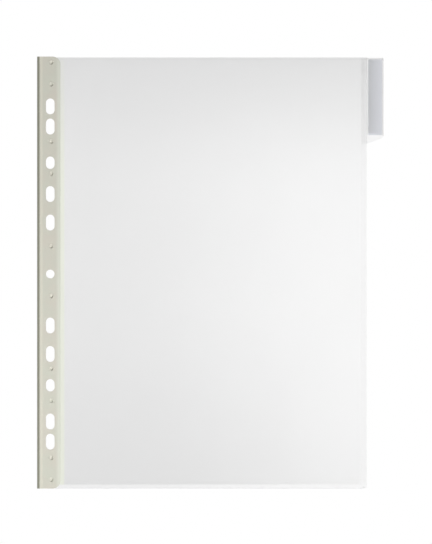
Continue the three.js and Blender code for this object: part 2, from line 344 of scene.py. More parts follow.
class Wiring:
    """A node tree and short ways to add to it."""

    def __init__(self, tree: bpy.types.NodeTree) -> None:
        """Takes the tree and empties it."""
        self.tree = tree
        self.tree.nodes.clear()

    def add(self, kind: str, **settings: object) -> bpy.types.Node:
        """A new node.

        Args:
            kind: The node's type.
            settings: Attributes to set on it.

        Returns:
            The node.
        """
        node = self.tree.nodes.new(kind)
        for key, value in settings.items():
            setattr(node, key, value)
        return node

    def join(self, source: bpy.types.NodeSocket, target: bpy.types.NodeSocket) -> None:
        """Links an output to an input."""
        self.tree.links.new(source, target)

    def feed(self, target: bpy.types.NodeSocket, value: object) -> None:
        """Links an output to an input, or sets the input.

        Args:
            target: The input.
            value: The output of another node, a number or a colour.
        """
        if isinstance(value, bpy.types.NodeSocket):
            self.join(value, target)
        else:
            target.default_value = value

    def math(self, operation: str, *values: object) -> bpy.types.NodeSocket:
        """The result of a Math node.

        Args:
            operation: What the node does.
            values: Its inputs, numbers or outputs of other nodes.

        Returns:
            The node's output.
        """
        node = self.add("ShaderNodeMath", operation=operation)
        for socket, value in zip(node.inputs, values):
            self.feed(socket, value)
        return node.outputs[0]

    def mapped(self, value: object, low: object, high: object, to_low: float, to_high: float,
               smooth: bool = False) -> bpy.types.NodeSocket:
        """A value moved from one range to another.

        Args:
            value: What is mapped.
            low: Start of its range.
            high: End of its range.
            to_low: Result at the start.
            to_high: Result at the end.
            smooth: Whether the change is eased at both ends.

        Returns:
            The result.
        """
        node = self.add("ShaderNodeMapRange", interpolation_type="SMOOTHSTEP" if smooth else "LINEAR")
        for name, given in zip(("Value", "From Min", "From Max", "To Min", "To Max"),
                               (value, low, high, to_low, to_high)):
            self.feed(node.inputs[name], given)
        return node.outputs["Result"]

    def mixed(self, share: object, first: object, second: object) -> bpy.types.NodeSocket:
        """Two colours mixed.

        Args:
            share: Share of the second.
            first: The first colour.
            second: The second colour.

        Returns:
            The mixed colour.
        """
        node = self.add("ShaderNodeMix", data_type="RGBA")
        for name, value in (("Factor", share), ("A", first), ("B", second)):
            self.feed(node.inputs[name], value)
        return node.outputs["Result"]

    def parted(self, position: bpy.types.NodeSocket) -> bpy.types.Node:
        """A node that parts a position into its X, Y and Z."""
        node = self.add("ShaderNodeSeparateXYZ")
        self.join(position, node.inputs[0])
        return node

    def stretched(self, position: bpy.types.NodeSocket, scale: Triple,
                  turn: Triple = (0.0, 0.0, 0.0)) -> bpy.types.NodeSocket:
        """A position on which a pattern is turned and drawn out.

        Args:
            position: The place on the piece.
            scale: What each axis is multiplied by.
            turn: Turn about each axis, in degrees.

        Returns:
            The new position.
        """
        node = self.add("ShaderNodeMapping", vector_type="POINT")
        self.join(position, node.inputs["Vector"])
        node.inputs["Rotation"].default_value = [math.radians(angle) for angle in turn]
        node.inputs["Scale"].default_value = scale
        return node.outputs["Vector"]

    def noise(self, position: bpy.types.NodeSocket, scale: object, detail: float,
              roughness: float = 0.5) -> bpy.types.NodeSocket:
        """Cloudy noise on a position.

        Args:
            position: The place on the piece.
            scale: How fine it is.
            detail: How many finer layers it has.
            roughness: How strong the finer layers are.

        Returns:
            The noise, from 0 to 1.
        """
        node = self.add("ShaderNodeTexNoise", noise_dimensions="3D")
        for name, value in (("Vector", position), ("Scale", scale), ("Detail", detail),
                            ("Roughness", roughness)):
            self.feed(node.inputs[name], value)
        return node.outputs["Fac"]

    def emboss(self, shader: bpy.types.Node, height: bpy.types.NodeSocket, strength: float,
               depth: float) -> None:
        """Gives a shader a bumpy skin.

        Args:
            shader: The Principled node.
            height: Height of the skin.
            strength: Strength of the bump.
            depth: Depth of the skin.
        """
        bump = self.add("ShaderNodeBump")
        bump.inputs["Strength"].default_value = strength
        bump.inputs["Distance"].default_value = depth
        self.join(height, bump.inputs["Height"])
        self.join(bump.outputs["Normal"], shader.inputs["Normal"])

    def seen_rays(self) -> bpy.types.NodeSocket:
        """A mask that is 1 for what the camera sees, straight, in gloss or through clear film."""
        path = self.add("ShaderNodeLightPath")
        seen = self.math("MAXIMUM", path.outputs["Is Camera Ray"], path.outputs["Is Glossy Ray"])
        return self.math("MAXIMUM", seen, path.outputs["Is Transmission Ray"])

    def placed(self, group: bpy.types.NodeTree, **values: object) -> bpy.types.Node:
        """A node group with its inputs set.

        Args:
            group: The group's tree.
            values: Its inputs, by their names.

        Returns:
            The group's node.
        """
        node = self.add("ShaderNodeGroup", node_tree=group)
        for key, value in values.items():
            self.feed(node.inputs[key], value)
        return node


def new_group(name: str, inputs: dict[str, str], outputs: dict[str, str]) -> tuple[Wiring, dict, dict]:
    """An empty node group with its sockets.

    Args:
        name: The group's name.
        inputs: Name and type of each input.
        outputs: Name and type of each output.

    Returns:
        The wiring, the sockets that give the inputs, and the sockets that take the outputs.
    """
    tree = bpy.data.node_groups.new(name, "ShaderNodeTree")
    for way, sockets in (("INPUT", inputs), ("OUTPUT", outputs)):
        for socket, kind in sockets.items():
            tree.interface.new_socket(name=socket, in_out=way, socket_type=kind)
    wiring = Wiring(tree)
    given = wiring.add("NodeGroupInput")
    taken = wiring.add("NodeGroupOutput")
    return wiring, {k: given.outputs[k] for k in inputs}, {k: taken.inputs[k] for k in outputs}


@dataclass(frozen=True)
class SharedEffects:
    """The node groups that more than one finish uses."""

    grain: bpy.types.NodeTree
    band: bpy.types.NodeTree
    handling: bpy.types.NodeTree

    @staticmethod
    def build() -> "SharedEffects":
        """Makes each group once.

        Returns:
            The groups.
        """
        return SharedEffects(
            grain=SharedEffects.build_grain(),
            band=SharedEffects.build_band(),
            handling=SharedEffects.build_handling())

    @staticmethod
    def build_grain() -> bpy.types.NodeTree:
        """The fine pebbled skin that calendered plastic and card have, and its faint clouds.

        Returns:
            The group.
        """
        pebble_detail, pebble_roughness = 2.0, 0.55
        cloud_detail = 3.0
        cloud_range = (0.3, 0.7)
        wiring, given, taken = new_group(
            "calender_grain", {"Position": VECTOR, "Pebbles": NUMBER, "Clouds": NUMBER},
            {"Height": NUMBER, "Cloud": NUMBER})
        pebble = wiring.noise(given["Position"], given["Pebbles"], pebble_detail, pebble_roughness)
        cloud = wiring.noise(given["Position"], given["Clouds"], cloud_detail)
        wiring.join(pebble, taken["Height"])
        wiring.join(wiring.mapped(cloud, *cloud_range, 0.0, 1.0, smooth=True), taken["Cloud"])
        return wiring.tree

    @staticmethod
    def build_band() -> bpy.types.NodeTree:
        """A mask that is 1 between two places along a line and falls off softly outside them.

        Returns:
            The group.
        """
        wiring, given, taken = new_group(
            "soft_band", {"Place": NUMBER, "From": NUMBER, "To": NUMBER, "Softness": NUMBER},
            {"Mask": NUMBER})
        before = wiring.math("SUBTRACT", given["From"], given["Softness"])
        after = wiring.math("ADD", given["To"], given["Softness"])
        rise = wiring.mapped(given["Place"], before, given["From"], 0.0, 1.0, smooth=True)
        fall = wiring.mapped(given["Place"], given["To"], after, 1.0, 0.0, smooth=True)
        wiring.join(wiring.math("MULTIPLY", rise, fall), taken["Mask"])
        return wiring.tree

    @staticmethod
    def build_handling() -> bpy.types.NodeTree:
        """Faint hairlines and rubbed patches from being leafed through.

        Returns:
            The group.
        """
        line_turn, line_scale = (0.0, 18.0, 0.0), (700.0, 200.0, 16.0)
        line_detail = 1.0
        line_range = (0.78, 0.85)
        patch_scale, patch_detail = 22.0, 4.0
        patch_range = (0.42, 0.68)
        wiring, given, taken = new_group(
            "handling_marks", {"Position": VECTOR, "Density": NUMBER},
            {"Hairlines": NUMBER, "Rubbed": NUMBER})
        drawn = wiring.stretched(given["Position"], line_scale, line_turn)
        line = wiring.noise(drawn, 1.0, line_detail)
        start = wiring.math("SUBTRACT", line_range[0], given["Density"])
        wiring.join(wiring.mapped(line, start, line_range[1], 0.0, 1.0, smooth=True), taken["Hairlines"])
        patch = wiring.noise(given["Position"], patch_scale, patch_detail)
        wiring.join(wiring.mapped(patch, *patch_range, 0.0, 1.0, smooth=True), taken["Rubbed"])
        return wiring.tree

    def banded(self, wiring: Wiring, place: bpy.types.NodeSocket, start: float, end: float,
               softness: float) -> bpy.types.NodeSocket:
        """Places the soft band in a finish.

        Args:
            wiring: The finish's wiring.
            place: The place along the line.
            start: Where the band starts.
            end: Where it ends.
            softness: How far it fades outside both.

        Returns:
            The band's mask.
        """
        node = wiring.placed(self.band, Place=place, From=start, To=end, Softness=softness)
        return node.outputs["Mask"]


def new_material(name: str) -> tuple[bpy.types.Material, Wiring, bpy.types.Node, bpy.types.NodeSocket]:
    """A material with its shader, its output and each point's place at rest, which bending film keeps.

    Args:
        name: The material's name.

    Returns:
        The material, its wiring, its Principled node and the place on the piece at rest.
    """
    material = bpy.data.materials.new(name)
    material.use_nodes = True
    wiring = Wiring(material.node_tree)
    shader = wiring.add("ShaderNodeBsdfPrincipled")
    output = wiring.add("ShaderNodeOutputMaterial")
    wiring.join(shader.outputs["BSDF"], output.inputs["Surface"])
    position = wiring.add("ShaderNodeAttribute", attribute_name=REST_PLACE).outputs["Vector"]
    return material, wiring, shader, position


@dataclass(frozen=True)
class StripPlastic:
    """Opaque beige-grey plastic with a fine skin, with painted shade along its fold and a painted highlight
    beside it.
    """

    name: str = "strip_plastic"
    colour: Colour = (0.662, 0.650, 0.562, 1.0)
    warm_cloud: Colour = (0.684, 0.638, 0.562, 1.0)
    green_cloud: Colour = (0.640, 0.664, 0.574, 1.0)
    # Painted shade: a dark band along the spine's fold, where the roll turns away from the light.
    fold_shade_colour: Colour = (0.27, 0.27, 0.21, 1.0)
    fold_start: float = 0.8 * MM
    fold_end: float = 1.5 * MM
    fold_softness: float = 0.75 * MM
    # Painted highlight: a pale band on the crest where the spine meets the leaf.
    crest_highlight_colour: Colour = (0.692, 0.672, 0.574, 1.0)
    crest_start: float = 2.9 * MM
    crest_end: float = 3.7 * MM
    crest_softness: float = 0.5 * MM
    # Painted light: the strip lighter towards its right edge.
    right_edge_light_colour: Colour = (0.735, 0.745, 0.657, 1.0)
    edge_width: float = 0.8 * MM
    edge_softness: float = 3.0 * MM
    sheen: float = 0.46
    rubbed_sheen: float = 0.38
    pebbles: float = 2600.0
    pebble_strength: float = 0.6
    pebble_depth: float = 0.012 * MM
    clouds: float = 60.0
    cloud_share: float = 0.5

    def build(self, effects: SharedEffects) -> bpy.types.Material:
        """Makes the material.

        Args:
            effects: The shared node groups.

        Returns:
            The material.
        """
        material, wiring, shader, position = new_material(self.name)
        across = wiring.parted(position).outputs["X"]
        low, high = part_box("filing_strip")
        # Painted shade along the spine's fold.
        fold = effects.banded(
            wiring, across, low.x + self.fold_start, low.x + self.fold_end, self.fold_softness)
        # Painted light towards the strip's right edge.
        edge = effects.banded(wiring, across, high.x - self.edge_width, high.x + MM, self.edge_softness)
        # Painted highlight on the spine's crest.
        crest = effects.banded(
            wiring, across, low.x + self.crest_start, low.x + self.crest_end, self.crest_softness)
        grain = wiring.placed(effects.grain, Position=position, Pebbles=self.pebbles, Clouds=self.clouds)
        marks = wiring.placed(effects.handling, Position=position)
        tinted = wiring.mixed(grain.outputs["Cloud"], self.warm_cloud, self.green_cloud)
        colour = wiring.mixed(self.cloud_share, self.colour, tinted)
        for mask, shade in ((edge, self.right_edge_light_colour), (crest, self.crest_highlight_colour), (fold, self.fold_shade_colour)):
            colour = wiring.mixed(mask, colour, shade)
        rough = wiring.mapped(marks.outputs["Rubbed"], 0.0, 1.0, self.sheen, self.rubbed_sheen)
        wiring.join(colour, shader.inputs["Base Color"])
        wiring.join(rough, shader.inputs["Roughness"])
        wiring.emboss(shader, grain.outputs["Height"], self.pebble_strength, self.pebble_depth)
        shader.inputs["IOR"].default_value = PLASTIC_IOR
        return material


@dataclass(frozen=True)
class Seam:
    """A straight band of the film with a colour of its own, over its whole length or a part of it.

    Most are places where the film is fused. Such a place is sunk by the share by which it has melted into
    what lies under it, and its lumps may have their own colour. The wide soft ones are painted shade.
    """

    name: str
    axis: Axis
    start: float
    end: float
    colour: Colour
    softness: float = 0.3 * MM
    span: Range | None = None
    fade: float | None = None
    sunk: float = 0.0
    lump_colour: Colour | None = None

    def mask(self, wiring: Wiring, effects: SharedEffects, split: bpy.types.Node) -> bpy.types.NodeSocket:
        """Where the seam shows.

        Args:
            wiring: The film's wiring.
            effects: The shared node groups.
            split: The position, parted into its axes.

        Returns:
            A mask that is 1 on the seam.
        """
        place = split.outputs[self.axis.value]
        across = effects.banded(wiring, place, self.start, self.end, self.softness)
        across.node.label = self.name
        if self.span is None:
            return across
        fade = self.softness if self.fade is None else self.fade
        along = effects.banded(wiring, split.outputs[self.axis.other().value], *self.span, fade)
        return wiring.math("MULTIPLY", across, along)


@dataclass(frozen=True)
class ClearFilm:
    """Frosted clear film, with painted shade that makes it faintly darker at the left than at the right."""

    name: str = "clear_film"
    # Painted shade and light: the film darker at the left and lighter at the right.
    left_shade_colour: Colour = grey_of(0.936)
    right_light_colour: Colour = grey_of(0.993)
    near_x: float = 20.0 * MM
    far_x: float = 215.0 * MM
    frost: float = 0.32
    seam_frost: float = 0.29
    worn_frost: float = 0.02
    scored_frost: float = 0.05
    hairlines: float = 0.04
    pebbles: float = 1500.0
    pebble_strength: float = 0.4
    pebble_depth: float = 0.004 * MM
    clouds: float = 18.0
    melt_lumps: float = 400.0
    melt_range: Range = (0.55, 0.85)
    light_through: float = 0.86

    def build(self, effects: SharedEffects, seams: list[Seam]) -> bpy.types.Material:
        """Makes the material.

        Args:
            effects: The shared node groups.
            seams: The fused places.

        Returns:
            The material.
        """
        material, wiring, shader, position = new_material(self.name)
        split = wiring.parted(position)
        # Painted shade: the film's colour falls from the right to the left.
        across = wiring.mapped(split.outputs["X"], self.near_x, self.far_x, 0.0, 1.0, smooth=True)
        colour = wiring.mixed(across, self.left_shade_colour, self.right_light_colour)
        fused, sunk = 0.0, 0.0
        for seam in seams:
            mask = seam.mask(wiring, effects, split)
            colour = wiring.mixed(mask, colour, self.seam_colour(seam, wiring, effects, position))
            fused = wiring.math("MAXIMUM", fused, mask)
            if seam.sunk > 0:
                sunk = wiring.math("MAXIMUM", sunk, wiring.math("MULTIPLY", mask, seam.sunk))
        wiring.join(colour, shader.inputs["Base Color"])
        wiring.join(self.roughness(fused, wiring, effects, position), shader.inputs["Roughness"])
        grain = wiring.placed(effects.grain, Position=position, Pebbles=self.pebbles, Clouds=self.clouds)
        wiring.emboss(shader, grain.outputs["Height"], self.pebble_strength, self.pebble_depth)
        path = wiring.add("ShaderNodeLightPath")
        hidden = wiring.math("MULTIPLY", path.outputs["Is Shadow Ray"], self.light_through)
        hidden = wiring.math("MAXIMUM", hidden, sunk)
        wiring.join(wiring.math("SUBTRACT", 1.0, hidden), shader.inputs["Alpha"])
        shader.inputs["Transmission Weight"].default_value = 1.0
        shader.inputs["IOR"].default_value = PLASTIC_IOR
        return material

    def seam_colour(self, seam: Seam, wiring: Wiring, effects: SharedEffects,
                    position: bpy.types.NodeSocket) -> object:
        """A seam's colour, with its lumps where it has any.

        Args:
            seam: The seam.
            wiring: The film's wiring.
            effects: The shared node groups.
            position: The place on the film.

        Returns:
            The plain colour, or the output that gives it.
        """
        if seam.lump_colour is None:
            return seam.colour
        melt = wiring.placed(
            effects.grain, Position=position, Pebbles=self.pebbles, Clouds=self.melt_lumps)
        lumps = wiring.mapped(melt.outputs["Cloud"], *self.melt_range, 0.0, 1.0)
        return wiring.mixed(lumps, seam.colour, seam.lump_colour)

    def roughness(self, fused: bpy.types.NodeSocket, wiring: Wiring, effects: SharedEffects,
                  position: bpy.types.NodeSocket) -> bpy.types.NodeSocket:
        """The film's frost, a little less on its seams and a little more where it is worn.

        Args:
            fused: Mask of the seams.
            wiring: The film's wiring.
            effects: The shared node groups.
            position: The place on the film.

        Returns:
            The roughness.
        """
        marks = wiring.placed(effects.handling, Position=position, Density=self.hairlines)
        frost = wiring.mapped(fused, 0.0, 1.0, self.frost, self.seam_frost)
        worn = wiring.math("MULTIPLY", marks.outputs["Rubbed"], self.worn_frost)
        scored = wiring.math("MULTIPLY", marks.outputs["Hairlines"], self.scored_frost)
        return wiring.math("ADD", frost, wiring.math("ADD", worn, scored))


@dataclass(frozen=True)
class LabelCard:
    """Bluish-grey card with short fibres, with painted shade towards its inner edge and painted light at its
    foot.
    """

    colour: Colour = (0.655, 0.665, 0.708, 1.0)
    fibre_colour: Colour = (0.685, 0.695, 0.738, 1.0)
    # Painted shade: the card darker towards its inner edge.
    inner_shade_colour: Colour = (0.50, 0.51, 0.528, 1.0)
    # Painted light: the card paler along its foot.
    foot_width: float = 1.3 * MM
    foot_softness: float = 0.5 * MM
    pebbles: float = 3200.0
    tooth_strength: float = 0.5
    tooth_depth: float = 0.02 * MM
    clouds: float = 90.0
    thin_share: float = 0.5
    fibre_scale: Triple = (2400.0, 1200.0, 420.0)
    fibre_detail: float = 3.0
    fibre_range: Range = (0.35, 0.7)
    sheen: Range = (0.72, 0.86)

    def build(self, effects: SharedEffects) -> bpy.types.Material:
        """Makes the material.

        Args:
            effects: The shared node groups.

        Returns:
            The material.
        """
        material, wiring, shader, position = new_material("label_card")
        grain = wiring.placed(effects.grain, Position=position, Pebbles=self.pebbles, Clouds=self.clouds)
        fibre = wiring.noise(wiring.stretched(position, self.fibre_scale), 1.0, self.fibre_detail)
        streak = wiring.mapped(fibre, *self.fibre_range, 0.0, 1.0, smooth=True)
        thick = wiring.mapped(grain.outputs["Cloud"], 0.0, 1.0, self.thin_share, 1.0)
        fibres = wiring.mixed(wiring.math("MULTIPLY", streak, thick), self.colour, self.fibre_colour)
        split = wiring.parted(position)
        low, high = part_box("tab_label")
        # Painted shade towards the inner edge.
        outwards = wiring.mapped(split.outputs["X"], low.x, high.x, 0.0, 1.0)
        # Painted light along the card's foot.
        foot = effects.banded(
            wiring, split.outputs["Z"], low.z - MM, low.z + self.foot_width, self.foot_softness)
        pale = wiring.math("MAXIMUM", outwards, foot)
        wiring.join(wiring.mixed(pale, self.inner_shade_colour, fibres), shader.inputs["Base Color"])
        wiring.join(wiring.mapped(streak, 0.0, 1.0, *self.sheen), shader.inputs["Roughness"])
        wiring.emboss(shader, grain.outputs["Height"], self.tooth_strength, self.tooth_depth)
        return material


@dataclass(frozen=True)
class HoleRow:
    """The punched holes and the weld spots, which every layer of the strip shares."""

    width: float = 6.2 * MM
    long_slot: float = 11.4 * MM
    short_slot: float = 8.9 * MM
    long_distances: tuple[float, ...] = (37 * MM, 57.5 * MM, 106 * MM, 120.5 * MM)
    short_distances: tuple[float, ...] = (80 * MM,)
    bore: float = 3.0 * MM
    bore_length: float = 3.6 * MM
    end_steps: int = 14
    bore_steps: int = 12

    def outlines(self) -> list[list[Vector]]:
        """Outlines of the middle hole, the slots and the weld spots' bores.

        Returns:
            The closed outlines, each a list of points.
        """
        found = [slot_outline(0.0, 0.0, self.width, self.width, self.end_steps)]
        pairs = [(d, self.long_slot) for d in self.long_distances]
        pairs += [(d, self.short_slot) for d in self.short_distances]
        for distance, length in pairs:
            for z in (distance, -distance):
                found.append(slot_outline(0.0, z, self.width, length, self.end_steps))
        for node in weld_spot_nodes():
            low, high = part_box(node)
            middle = (low + high) / 2
            found.append(slot_outline(middle.x, middle.z, self.bore, self.bore_length, self.bore_steps))
        return found


def weld_spot_nodes() -> list[str]:
    """The CAD nodes of the weld spots, top to bottom."""
    return sorted(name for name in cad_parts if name.startswith("weld_stud_"))


@dataclass
class FilingStrip:
    """The folded strip and its ten weld spots."""

    holes: HoleRow
    leaf: float = 0.5 * MM
    film_room: float = 0.25 * MM
    spine_radius: float = 1.2 * MM
    spine_width: float = 4.6 * MM
    corner: float = 5.5 * MM
    corner_steps: int = 8
    edge_round: float = 0.09 * MM
    sway_steps: int = 8
    fold_steps: int = 16
    spot_dent: float = 1.0 * MM
    spot_brim: float = 0.05 * MM
    spot_crown: float = 0.5
    spot_crease: float = 60.0
    brim_taper: float = 0.5
    crown_skew: float = 0.8
    spot_rings: int = 7
    spot_steps: int = 32
    spot_lean: Pair = (0.25 * MM, -0.5 * MM)
    spot_shift: float = 0.2 * MM
    shift_reach: float = 0.75
    spot_lump: float = 0.09 * MM
    lump_rise: Range = (0.0, 0.35)
    lump_fall: Range = (0.6, 0.9)
    seat_reach: float = 0.001 * MM
    shank_room: float = 0.1 * MM
    flecks: int = 3
    fleck_radius: float = 0.32 * MM
    fleck_radius_spread: float = 0.35
    fleck_reach: float = 2.3 * MM
    fleck_reach_spread: float = 0.2
    fleck_turns: Pair = (2.4, 1.7)
    fleck_rise: float = 0.16 * MM
    fleck_long: float = 0.75

    @property
    def seat(self) -> float:
        """Place of the front leaf's outer face, where the spots and flecks sit."""
        return -(self.film_room + self.leaf)

    def build(self, plastic: bpy.types.Material, melted: bpy.types.Material) -> list[bpy.types.Object]:
        """Builds the strip and its spots, riding on the strip's body.

        Args:
            plastic: Finish of the strip.
            melted: Finish of the spots.

        Returns:
            The pieces.
        """
        spots = [self.build_spot(node, i, melted) for i, node in enumerate(weld_spot_nodes())]
        return [self.build_strip(plastic)] + spots

    def leaf_outline(self, left: float, low: Vector, high: Vector) -> list[Vector]:
        """Outline of a flat leaf, with its two round corners.

        Args:
            left: Where the leaf ends and the spine starts.
            low: Lowest corner of the strip.
            high: Highest corner of the strip.

        Returns:
            The points, from the lower left one round to the upper left one.
        """
        inset = high.x - self.corner
        lower = arc_points(inset, low.z + self.corner, self.corner, -90, 0, self.corner_steps)
        upper = arc_points(inset, high.z - self.corner, self.corner, 0, 90, self.corner_steps)
        return [Vector((left, 0, low.z)), *lower, *upper, Vector((left, 0, high.z))]

    def sway(self, start: Vector, end: Vector) -> list[Vector]:
        """The soft bend by which the leaf opens into the spine.

        Args:
            start: Where the leaf ends.
            end: Where the fold starts.

        Returns:
            The places after the start, the end among them.
        """
        bend = []
        for i in range(self.sway_steps):
            t = (i + 1) / self.sway_steps
            ease = smoothstep(0.0, 1.0, t)
            across = start.x + (end.x - start.x) * t
            bend.append(Vector((across, start.y + (end.y - start.y) * ease, 0.0)))
        return bend

    def spine_path(self, leaf_end: float, fold_x: float) -> list[Vector]:
        """Section of the rolled spine, from the front leaf round to the back one.

        Args:
            leaf_end: Where the leaves end and the spine starts.
            fold_x: Centre of the round fold.

        Returns:
            The places along it.
        """
        start = Vector((leaf_end, self.seat, 0.0))
        front = [start] + self.sway(start, Vector((fold_x, -self.spine_radius, 0.0)))
        angles = [math.pi * (i + 1) / self.fold_steps for i in range(self.fold_steps - 1)]
        fold = [Vector((fold_x - self.spine_radius * math.sin(a), -self.spine_radius * math.cos(a), 0.0))
                for a in angles]
        back = [Vector((place.x, -place.y, 0.0)) for place in reversed(front)]
        return front + fold + back

    def build_strip(self, plastic: bpy.types.Material) -> bpy.types.Object:
        """The strip: two punched leaves joined by a rolled spine.

        Args:
            plastic: Its finish.

        Returns:
            The strip.
        """
        low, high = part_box("filing_strip")
        leaf_end = low.x + self.spine_width
        path = self.spine_path(leaf_end, low.x + self.spine_radius)
        bench = Bench()
        outline = bench.chain(self.leaf_outline(leaf_end, low, high), closed=True)
        rims = [edge for points in self.holes.outlines() for edge in bench.chain(points, closed=True)]
        bench.fill(outline + rims)
        bmesh.ops.translate(bench.bm, verts=bench.bm.verts[:], vec=(0.0, path[0].y, 0.0))
        leaf = bench.bm.faces[:]
        edges = [outline[-1]]
        for before, after in zip(path, path[1:]):
            edges = bench.pull(edges, after - before)
        copied = bmesh.ops.duplicate(bench.bm, geom=leaf)["geom"]
        verts = [g for g in copied if isinstance(g, bmesh.types.BMVert)]
        bmesh.ops.scale(bench.bm, verts=verts, vec=(1.0, -1.0, 1.0))
        bench.weld()
        self.thicken_inwards(bench)
        bench.soften(self.edge_round)
        strip = bench.finish("folded_strip", plastic)
        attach(strip, "strip")
        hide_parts("filing_strip")
        return strip

    def thicken_inwards(self, bench: Bench) -> None:
        """Gives the folded sheet its thickness, towards the film.

        Args:
            bench: The sheet's outer face.
        """
        bench.face_outwards()
        # An open sheet may still face inwards, so the largest face at the front is asked.
        front = max(bench.bm.faces, key=lambda f: -f.calc_center_median().y * f.calc_area())
        if front.normal.y > 0:
            bmesh.ops.reverse_faces(bench.bm, faces=bench.bm.faces[:])
        bmesh.ops.solidify(bench.bm, geom=bench.bm.faces[:], thickness=self.leaf)
        bench.face_outwards()

    def spot_profile(self, head: float, rise: float, back: float) -> list[tuple[float, float]]:
        """Half section of a weld spot: a dent, its raised rim and the shank.

        Args:
            head: Radius of the rim's outer edge.
            rise: How far the rim stands off the leaf.
            back: Where the shank ends at the back.

        Returns:
            Radius and place front to back of each point.
        """
        shank = self.holes.bore / 2 - self.shank_room
        profile = []
        for i in range(self.spot_rings):
            t = i / (self.spot_rings - 1)
            sink = self.spot_dent * (1.0 - t)
            profile.append((shank * t, self.seat - self.spot_brim * t + sink))
        for i in range(1, self.spot_rings):
            t = i / (self.spot_rings - 1)
            radius = shank + (head - shank) * t
            brim = self.spot_brim * (1.0 - self.brim_taper * t)
            crown = self.spot_crown * (rise - self.spot_brim) * math.sin(math.pi * t ** self.crown_skew)
            profile.append((radius, self.seat - brim - crown))
        return profile + [(head, self.seat), (shank, self.seat), (shank, back), (0.0, back)]

    def stretch(self) -> float:
        """How much longer than wide a spot is."""
        gap = 2 * self.shank_room
        return (self.holes.bore_length - gap) / (self.holes.bore - gap)

    def melted(self, place: Vector, middle: Vector, head: float, index: int) -> Vector:
        """Where a point of a spot lies, as each spot is long and melted a little differently.

        Args:
            place: The point of the even spot.
            middle: The spot's centre.
            head: Radius of the rim's outer edge.
            index: Which spot it is.

        Returns:
            The point's place.
        """
        across, up = place.x - middle.x, place.z - middle.z
        reach = math.hypot(across, up) / head
        long = Vector((place.x, place.y, middle.z + up * self.stretch()))
        below_dent = place.y > self.seat + self.spot_dent + self.spot_brim
        on_seat = abs(place.y - self.seat) < self.seat_reach
        if below_dent or on_seat:
            return long
        # Three lumps and two lie round the rim, turned differently from spot to spot.
        angle = math.atan2(up, across)
        lump = vary(angle, 3.0, 2.1 * index) + vary(angle, 2.0, 1.3 * index + 0.7)
        lump *= smoothstep(*self.lump_rise, reach) * (1.0 - smoothstep(*self.lump_fall, reach))
        aside = Vector((
            self.spot_lean[0] + self.spot_shift * vary(index, 2.7), 0.0,
            self.spot_lean[1] + self.spot_shift * vary(index, 1.9, math.pi / 2)))
        aside *= 1.0 - smoothstep(0.0, self.shift_reach, reach)
        return long + aside + Vector((0.0, self.spot_lump * lump, 0.0))

    def add_flecks(self, bench: Bench, middle: Vector, index: int) -> None:
        """Adds the small flecks of plastic that were pressed out beside a spot.

        Args:
            bench: The spot.
            middle: The spot's centre.
            index: Which spot it is.
        """
        for i in range(self.flecks):
            angle = self.fleck_turns[0] * i + self.fleck_turns[1] * index
            reach = self.fleck_reach * (1.0 + self.fleck_reach_spread * vary(i, 4.1, index))
            radius = self.fleck_radius * (1.0 + self.fleck_radius_spread * vary(i, 2.9, 1.1 * index))
            place = Matrix.Translation((
                middle.x + reach * math.cos(angle), self.seat, middle.z + reach * math.sin(angle)))
            size = Matrix.Diagonal((radius, self.fleck_rise, radius * self.fleck_long, 1.0))
            bmesh.ops.create_icosphere(bench.bm, subdivisions=2, radius=1.0, matrix=place @ size)

    def build_spot(self, node: str, index: int, plastic: bpy.types.Material) -> bpy.types.Object:
        """A weld spot: a dent with a melted rim, and its shank through both leaves.

        Args:
            node: The CAD node that it stands for.
            index: Which spot it is, from the top.
            plastic: Its finish.

        Returns:
            The spot.
        """
        low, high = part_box(node)
        middle = (low + high) / 2
        head = (high.x - low.x) / 2
        bench = Bench()
        profile = self.spot_profile(head, self.seat - low.y, high.y)
        edges = bench.chain([Vector((middle.x + r, y, middle.z)) for r, y in profile])
        geometry = list({v for e in edges for v in e.verts}) + edges
        bmesh.ops.spin(
            bench.bm, geom=geometry, cent=(middle.x, 0.0, middle.z), axis=(0.0, 1.0, 0.0),
            dvec=(0.0, 0.0, 0.0), angle=2 * math.pi, steps=self.spot_steps, use_merge=True,
            use_duplicate=False)
        bench.weld()
        bench.face_outwards()
        bench.shift(lambda place: self.melted(place, middle, head, index))
        self.add_flecks(bench, middle, index)
        name = node.replace("weld_stud", "weld_spot")
        spot = bench.finish(name, plastic, crease=self.spot_crease)
        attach(spot, "strip")
        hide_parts(node)
        return spot


